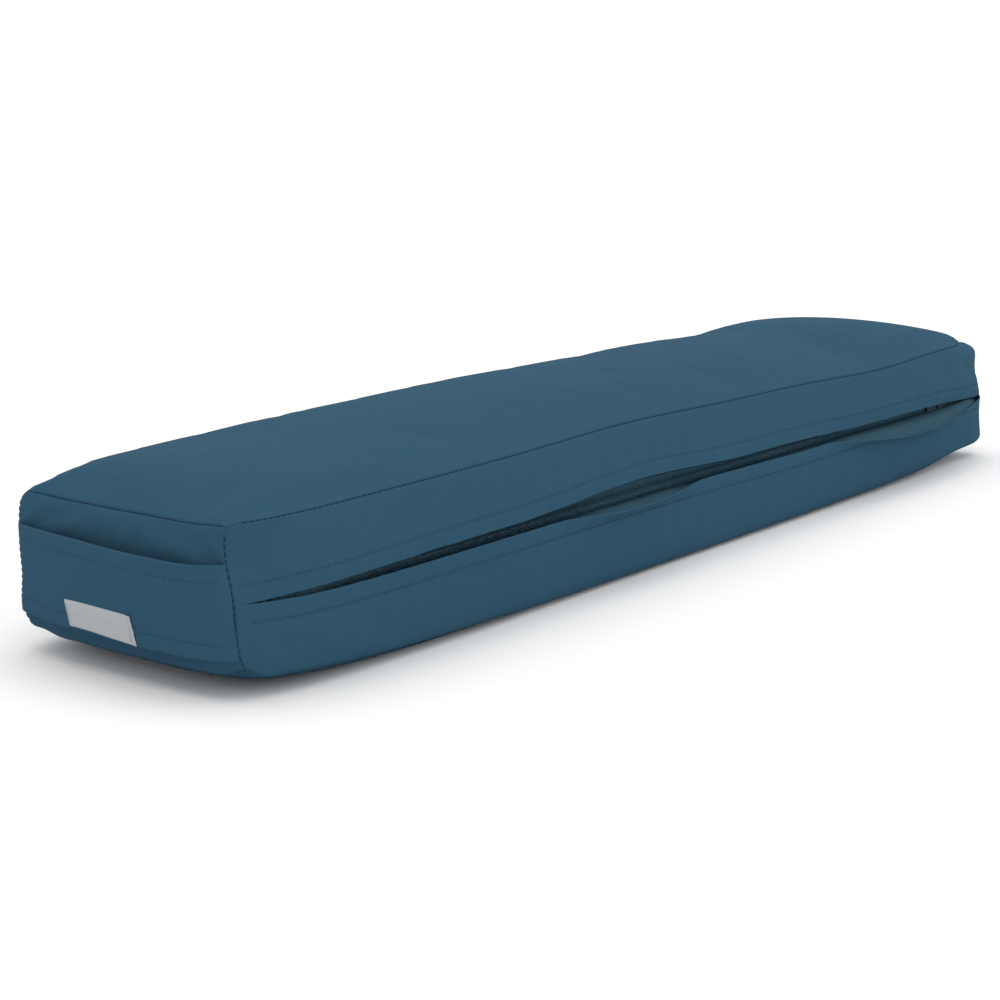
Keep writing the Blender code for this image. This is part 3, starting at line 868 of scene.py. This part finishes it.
def on_band(y, z, off):
    """The place at this distance off the band's outer face."""
    return band_spot(y, z) - np.stack(np.broadcast_arrays(off, 0 * y, 0 * z), -1)


# Label, zip and filling ----


LABEL_LONG = 0.047
LABEL_TALL = 0.0137
LABEL_OFF = 0.00075
LABEL_EDGE = 0.00025
LABEL_THICK = 0.0006


def label_spot(a, b):
    """Y and Z on the label: a from 0 at the rear to 1 at the zip side, b from 0 to 1 upwards."""
    y = LABEL_HIGH.y + a * (LABEL_LOW.y - LABEL_HIGH.y) + 0.0022 * (b - 0.5)
    low = band_edges(y)[0] + 0.0004 + 0.0014 * (1 - a)
    return y, low + b * (LABEL_HIGH.z - LABEL_LOW.z - 0.0012 * (1 - a) + 0.0004)


def label_piece(name, look):
    """A woven label, thicker where its ends are folded under, sewn flat on the band."""
    a, b = np.linspace(0, 1, 61)[:, None], np.linspace(0, 1, 25)[None, :]
    fold = np.exp(-((np.minimum(a, 1 - a) / 0.05) ** 4)) * 0.0003
    edge = np.minimum(np.minimum(a, 1 - a) * LABEL_LONG, np.minimum(b, 1 - b) * LABEL_TALL)
    off = LABEL_OFF * (1 - np.exp(-edge / LABEL_EDGE)) + fold
    curl = 0.0005 * bell(1 - a, 0.08) * b
    uv = np.stack(np.broadcast_arrays(a * LABEL_LONG, b * LABEL_TALL), -1)
    obj = shell(grid_object(name, on_band(*label_spot(a, b), off + curl), uv, (-1, 0, 0)), LABEL_THICK)
    obj.data.materials.append(look)
    return obj


def label_stitches():
    """Starts and ends of the short stitches that hold the label's two ends."""
    up = np.linspace(0.04, 0.96, 30)
    lines = [on_band(*label_spot(np.full(len(up), a), up), 0.0013) for a in (0.035, 0.965)]
    return joined([stitches_on(line, 0.0016, 0.0012) for line in lines])


CHAIN_BEHIND = 0.0033  # the chain stays this far behind the cover's side


def chain_depth(x):
    """Y of the zip chain, which keeps behind the lips and turns in a little at its ends."""
    half = CORNER_HALF_WIDTH + fullness(x / HALF_LENGTH, SIDE_POWER) * (WIDEST - CORNER_HALF_WIDTH)
    return np.maximum(CHAIN_Y, CHAIN_BEHIND - half)


def topstitch_line(side):
    x = np.linspace(-HALF_LENGTH + 0.004, HALF_LENGTH - 0.004, 500)
    row, _, out = flap_frame(x, side)
    return row + out * 0.00040


BOTTOM_SEAM_SHOWN = -0.68  # v up to which the bottom seam of the handle end comes out from below
SEAM_THREAD = 0.00025


def seam_lines():
    """The cover's seams whose thread shows, a little above the bottom of their grooves."""
    for along, a, b, sa, sb, out in twelve_seams():
        run = np.linspace(-0.985, 0.985, 400)
        if b == 2 and sb < 0:
            if (a, sa) != (0, -1):
                continue
            run = run[run < BOTTOM_SEAM_SHOWN]
        place = [None] * 3
        place[a], place[b], place[along] = float(sa), float(sb), run
        panel = [name for name, face in PANELS.items() if face == (a, sa)][0]
        yield skin(panel, *place) + out * 0.0002


TAPE_HALF = HALF_LENGTH - 0.0012
TAPE_THICK = 0.0005
TAPE_BEHIND = 0.00098  # the tape lies this far behind the middle of the coil
TAPE_HEIGHTS = (0.0006, 0.0012, 0.0019, 0.0026)  # from the zip line to the outer edge of the coil
TAPE_SHARES = (0.04, 0.09, 0.16, 0.26, 0.38, 0.52, 0.66, 0.80, 0.92, 1.0)
TAPE_INSIDE = 0.0017  # the lower tape lies this far behind its strip's face
TAPE_SEWN_AT = 0.0003  # and this far where the hem is turned out
TAPE_BULGE = 0.0024  # there the tape swells out this far
TAPE_END_INSIDE = 0.0016  # past the coil's ends the tape lies this far inside the lips
UPPER_TAPE_INSIDE = 0.0056
# Where the upper lip gapes the tape comes forward to a crest below it and dips in behind it. The legs say how
# far each row is along that path: 0 is the coil, 1 the crest, 2 the dip and 3 the hem.
TAPE_CREST_BELOW = 0.0015
TAPE_CREST_INSIDE = 0.0024
TAPE_DIP_SHARE = 0.90
TAPE_LEGS = (0.0, 0.20, 0.45, 0.72, 0.90, 1.0, 1.35, 1.80, 2.30, 3.0)


def zip_tape(name, side, look):
    """The woven tape of one side: flat behind the coil, out to the hem, and down the hem's back."""
    x = np.linspace(-TAPE_HALF, TAPE_HALF, 220)
    full, edge, hinge = strip_lines(x, side)
    hinge_row, down, out = flap_frame(x, side)
    turn = flap_turn(x, side)[:, None]
    along, into = down * np.cos(turn) + out * np.sin(turn), down * np.sin(turn) - out * np.cos(turn)
    turned = np.clip(turn / math.radians(36), 0, 1)
    inside_by = UPPER_TAPE_INSIDE if side > 0 else TAPE_INSIDE

    def on_hem(share, depth):
        return hinge_row + along * ((hinge - edge)[:, None] * share) + into * depth

    past_coil = ease(np.clip((np.abs(x) - CHAIN_HALF - 0.002) / 0.006, 0, 1))[:, None]

    def behind_coil(height):
        row = np.stack([BODY_X + x, chain_depth(x) + TAPE_BEHIND, ZIP_Z + side * height + 0 * x], -1)
        face = side_row(x, side, height, full) + np.array([0, TAPE_END_INSIDE, 0])
        return row + (face - row) * past_coil

    rows = [behind_coil(height) for height in TAPE_HEIGHTS]
    edge_row = rows[-1]
    meets = 0.35 + 0.45 * turned
    sewn = on_hem(meets, inside_by + (TAPE_SEWN_AT - inside_by) * turned)
    bulge = np.array([0, -0.6, -side * 0.8]) * TAPE_BULGE * turned
    ripple = np.array([0, 0.00016, 0]) * np.sin(x * 310)[:, None]
    across = [edge_row + (sewn - edge_row) * share for share in TAPE_SHARES]
    if side > 0:
        gaping = ease(np.clip((edge - TAPE_HEIGHTS[-1] - TAPE_CREST_BELOW) / 0.0025, 0, 1))[:, None]
        crest = on_hem(1 + TAPE_CREST_BELOW / UPPER_STITCH, TAPE_CREST_INSIDE)
        stops = [edge_row, crest, on_hem(TAPE_DIP_SHARE, UPPER_TAPE_INSIDE), sewn, sewn]
        path = [stops[int(leg)] + (stops[int(leg) + 1] - stops[int(leg)]) * (leg % 1) for leg in TAPE_LEGS]
        across = [a + (b - a) * gaping for a, b in zip(across, path)]
    for share, row in zip(TAPE_SHARES, across):
        rows.append(row + (bulge + ripple) * math.sin(math.pi * share**0.7))
    for share in (0.75, 0.5, 0.25, 0.1):
        rows.append(on_hem(meets * share, inside_by))
    points = np.stack(rows, 1)
    steps = np.linalg.norm(np.diff(points, axis=1), axis=-1).mean(0)
    obj = grid_object(name, points, uv_metres(x, np.concatenate([[0], np.cumsum(steps)])), (0, -1, 0))
    return finish_cloth(shell(obj, TAPE_THICK), look)


def zip_coil(name, side, look):
    """One nylon coil: a wound thread along the tape's edge."""
    pitch, wire, around, sides = 0.00128, 0.00027, 12, 5
    turns = int(2 * (CHAIN_HALF - 0.001) / pitch)
    phase = np.arange(turns * around + 1) * 2 * math.pi / around
    x = -CHAIN_HALF + 0.001 + phase / (2 * math.pi) * pitch
    x = x + (pitch / 2 if side < 0 else 0)
    height = ZIP_Z + side * (0.00124 + 0.00118 * np.sin(phase))  # it reaches in between the other's turns
    centre = np.stack([BODY_X + x, chain_depth(x) - 0.00036 * np.cos(phase), height], -1)
    tangent = unit(np.gradient(centre, axis=0))
    first = unit(np.cross(tangent, np.array([1.0, 0, 0])))
    second = np.cross(tangent, first)
    angles = (np.arange(sides) * 2 * math.pi / sides)[None, :, None]
    rings = centre[:, None] + wire * (first[:, None] * np.cos(angles) + second[:, None] * np.sin(angles))
    index = np.arange(len(rings) * sides).reshape(-1, sides)
    ahead = np.roll(index, -1, axis=1)
    quads = np.stack([index[:-1], ahead[:-1], ahead[1:], index[1:]], -1).reshape(-1, 4).tolist()
    ends = [index[0].tolist()[::-1], index[-1].tolist()]
    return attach(closed_object(name, rings, quads + ends, look), "cover")


def bar_tack(name, end, look):
    """Close threads across the chain that stop the slider at its end."""
    margin, pitch, radius = 0.0003, 0.0005, 0.00032
    low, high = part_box(f"zip_{end}_bar_tack")
    count = max(6, int((high.x - low.x - 2 * margin) / pitch))
    x = np.linspace(low.x + margin, high.x - margin, count)
    lean = 0.0002 * (-1.0) ** np.arange(count)
    starts = np.stack([x - lean, 0 * x + low.y + margin, 0 * x + low.z + margin], -1)
    ends = np.stack([x + lean, 0 * x + low.y + margin, 0 * x + high.z - margin], -1)
    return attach(capsule_object(name, (starts, ends), radius, look), "cover")


def batting(name, low, high, seed, look):
    """A layer of cotton batting: a lumpy closed pad that fills the liner from w = low to w = high."""
    bm = bmesh.new()
    bmesh.ops.create_cube(bm, size=2.0)
    bmesh.ops.subdivide_edges(bm, edges=bm.edges, cuts=1, use_grid_fill=True)
    mesh = bpy.data.meshes.new(name)
    bm.to_mesh(mesh)
    bm.free()
    obj = link(name, mesh)
    for _ in range(5):
        sub = obj.modifiers.new("finer", "SUBSURF")
        sub.subdivision_type, sub.levels = "SIMPLE", 1
        baked(obj)
    mesh = obj.data
    co = np.zeros(len(mesh.vertices) * 3)
    mesh.vertices.foreach_get("co", co)
    co = co.reshape(-1, 3)
    flat = co / np.maximum(1, np.linalg.norm(co, axis=1, keepdims=True) ** 0.10)  # with rounded corners
    u, v, t = flat[:, 0] * 0.975, flat[:, 1] * 0.93, flat[:, 2]
    thinned = 1 - 0.25 * (np.abs(u) ** 6 + np.abs(v) ** 6)
    w = (low + high) / 2 + t * (high - low) / 2 * thinned
    points = inside(cover_point(u, v * 0.98, w))
    lumps = np.zeros(len(points))
    generator = np.random.default_rng(40 + seed)
    for _ in range(14):
        k = generator.uniform(25, 130) * unit(generator.normal(size=3))
        lumps += np.sin(points @ k + generator.uniform(0, 6.3)) * 0.0003
    outward = unit(points - np.array([BODY_X, 0, ZIP_Z + (low + high) / 2 * SEAM_RISE]))
    points = points - outward * (0.0012 + lumps)[:, None]
    mesh.vertices.foreach_set("co", points.ravel())
    set_uvs(mesh, points[:, :2])
    mesh.shade_smooth()
    mesh.materials.append(look)
    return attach(obj, "cover")


# Looks ----

SLATE = (0.0255, 0.0748, 0.1200)
NAVY = (0.012, 0.032, 0.052)
canvas = cloth_material("slate_canvas", SLATE, 0.00085, 0.22, 0.9)
label_cloth = cloth_material("woven_label", (0.38, 0.40, 0.42), 0.00035, 0.25, 0.7, mottling=0.02)
thread = thread_material("slate_thread", shade(SLATE, 0.92))
seam_thread = thread_material("navy_thread", NAVY)
label_thread = thread_material("label_thread", (0.34, 0.37, 0.39))
tape_cloth = cloth_material("zip_tape", (0.031, 0.075, 0.107), 0.00045, 0.4, 0.85)
coil_nylon = coil_material("zip_coil", (0.042, 0.108, 0.155))
enamel = enamel_material("zip_enamel", (0.016, 0.036, 0.052))
muslin = cloth_material("muslin", (0.62, 0.57, 0.47), 0.0006, 0.3, 0.9)
cotton = cloth_material("cotton_batting", (0.72, 0.69, 0.62), 0.0025, 0.6, 0.95, mottling=0.15)

# Build ----

simulate_cover()

# Place in the pieces' names, panel, and the nodes that the cover's and the liner's piece stand for
COVER_PANELS = (
    ("top", "top", "cover_top_panel", "liner_top_panel"),
    ("bottom", "bottom", "cover_bottom_panel", "liner_bottom_panel"),
    ("rear", "rear", "cover_rear_side_panel", "liner_rear_boxing"),
    ("handle_end", "near", "cover_handle_end_panel", "liner_handle_end_panel"),
    ("far_end", "far", "cover_far_end_panel", "liner_far_end_panel"),
    ("zip_side", "front", None, "liner_front_boxing"),
)
for place, panel, cover_node, liner_node in COVER_PANELS:
    if cover_node:
        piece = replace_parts(panel_piece(f"cover_{place}_canvas", panel, canvas), cover_node)
    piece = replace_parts(panel_piece(f"liner_{place}_muslin", panel, muslin, inner=True), liner_node)

for side, name in ((1, "upper"), (-1, "lower")):
    strip = zip_strip(f"zip_side_{name}_canvas", side, canvas)
    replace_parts(strip, f"cover_zip_side_{name}_strip")
    tape = zip_tape(f"zip_{name}_tape_cloth", side, tape_cloth)
    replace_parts(tape, f"zip_{name}_tape")
    coil = zip_coil(f"zip_{name}_coil_teeth", side, coil_nylon)
    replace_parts(coil, f"zip_{name}_coil")
    stitches = stitches_on(topstitch_line(side))
    sewing = capsule_object(f"zip_side_{name}_stitching", stitches, THREAD, thread)
    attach(sewing, "cover")

sewing = capsule_object("seam_stitching", joined(map(stitches_on, seam_lines())), SEAM_THREAD, seam_thread)
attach(sewing, "cover")

# Each layer of batting with its lowest and highest w
BATTING = (("lower", -0.72, -0.26), ("middle", -0.20, 0.24), ("upper", 0.30, 0.74))
for number, (name, low, high) in enumerate(BATTING):
    layer = batting(f"batting_{name}_fill", low, high, number, cotton)
    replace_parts(layer, f"batting_{name}_layer")

for end in ("near", "far"):
    tack = bar_tack(f"zip_{end}_bar_tack_threads", end, thread)
    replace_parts(tack, f"zip_{end}_bar_tack")

for node in ("zip_slider_body", "zip_pull_tab"):
    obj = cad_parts[node]
    obj.data.materials.clear()
    obj.data.materials.append(enamel)
    bevel = obj.modifiers.new("worn edges", "BEVEL")
    bevel.width, bevel.segments, bevel.limit_method = 0.00018, 2, "ANGLE"

for side, name in ((-1, "handle_band_zip_half"), (1, "handle_band_rear_half")):
    still, free = [(BODY_X, side * y, BAND_FREE_Z) for y in (BAND_HALF, BAND_FREE_Y)]
    half = band_piece(name, side, canvas)
    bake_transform(half)
    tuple(still)
    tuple(free)
    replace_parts(half, "handle_band")
    y = side * np.linspace(0.0, BAND_HALF - 0.002, 120)
    for place, z in (("lower", band_edges(y)[0] + BAND_HEM), ("upper", band_edges(y)[1] - BAND_HEM)):
        stitches = stitches_on(on_band(y, z, 0.0001))
        threads = capsule_object(f"{name}_{place}_stitching", stitches, THREAD, thread)
        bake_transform(threads)
        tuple(still)
        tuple(free)

label = label_piece("label_patch", label_cloth)
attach(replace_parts(label, "woven_label"), "handle")
label_sewing = capsule_object("label_stitching", label_stitches(), 0.0002, label_thread)
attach(label_sewing, "handle")


# Floor, light and camera ----

FLOOR_HALF = 30
floor_mesh = bpy.data.meshes.new("floor")
corners = [(FLOOR_HALF * x, FLOOR_HALF * y, 0) for x, y in ((-1, -1), (1, -1), (1, 1), (-1, 1))]
floor_mesh.from_pydata(corners, [], [(0, 1, 2, 3)])
floor = link("floor", floor_mesh)
pale = Nodes("pale_floor")
pale.set(pale.shader, {"Base Color": (0.86, 0.86, 0.86, 1), "Roughness": 0.9})
floor_mesh.materials.append(pale.material)

world = bpy.data.worlds.new("studio")
world.use_nodes = True
backdrop = world.node_tree.nodes["Background"].inputs
backdrop["Color"].default_value, backdrop["Strength"].default_value = (1, 1, 1, 1), 1.0
bpy.context.scene.world = world
bpy.context.scene.view_settings.view_transform = "Standard"


def area_light(name, place, size, power):
    """A round light that faces the middle of the cushion."""
    light = bpy.data.lights.new(name, "AREA")
    light.shape, light.size, light.energy = "DISK", size, power
    lamp = link(name, light)
    lamp.location = place
    lamp.rotation_euler = (Vector((0, 0, 0.05)) - Vector(place)).to_track_quat("-Z", "Y").to_euler()


area_light("overhead", (0.3, 0.9, 2.6), 2.2, 8)
area_light("side_fill", (1.2, -2.6, 1.3), 1.8, 14)
sun = bpy.data.lights.new("sky_glow", "SUN")
sun.energy, sun.angle = 0.6, math.radians(60)
link("sky_glow", sun)

CAMERA_PLACE = (BODY_X - 0.9347, -0.7032, 0.2744)
CAMERA_HEADING, CAMERA_DOWN, CAMERA_ROLL = -50.387, 12.228, -1.095  # degrees
lens = bpy.data.cameras.new("camera")
lens.lens, lens.sensor_width = 72.17, 36.0  # mm
camera = link("camera", lens)
turn = Matrix.Rotation(math.radians(CAMERA_HEADING), 4, "Z")
pitch = Matrix.Rotation(math.radians(90 - CAMERA_DOWN), 4, "X")
roll = Matrix.Rotation(math.radians(CAMERA_ROLL), 4, "Z")
camera.matrix_world = Matrix.Translation(CAMERA_PLACE) @ turn @ pitch @ roll
bpy.context.scene.camera = camera
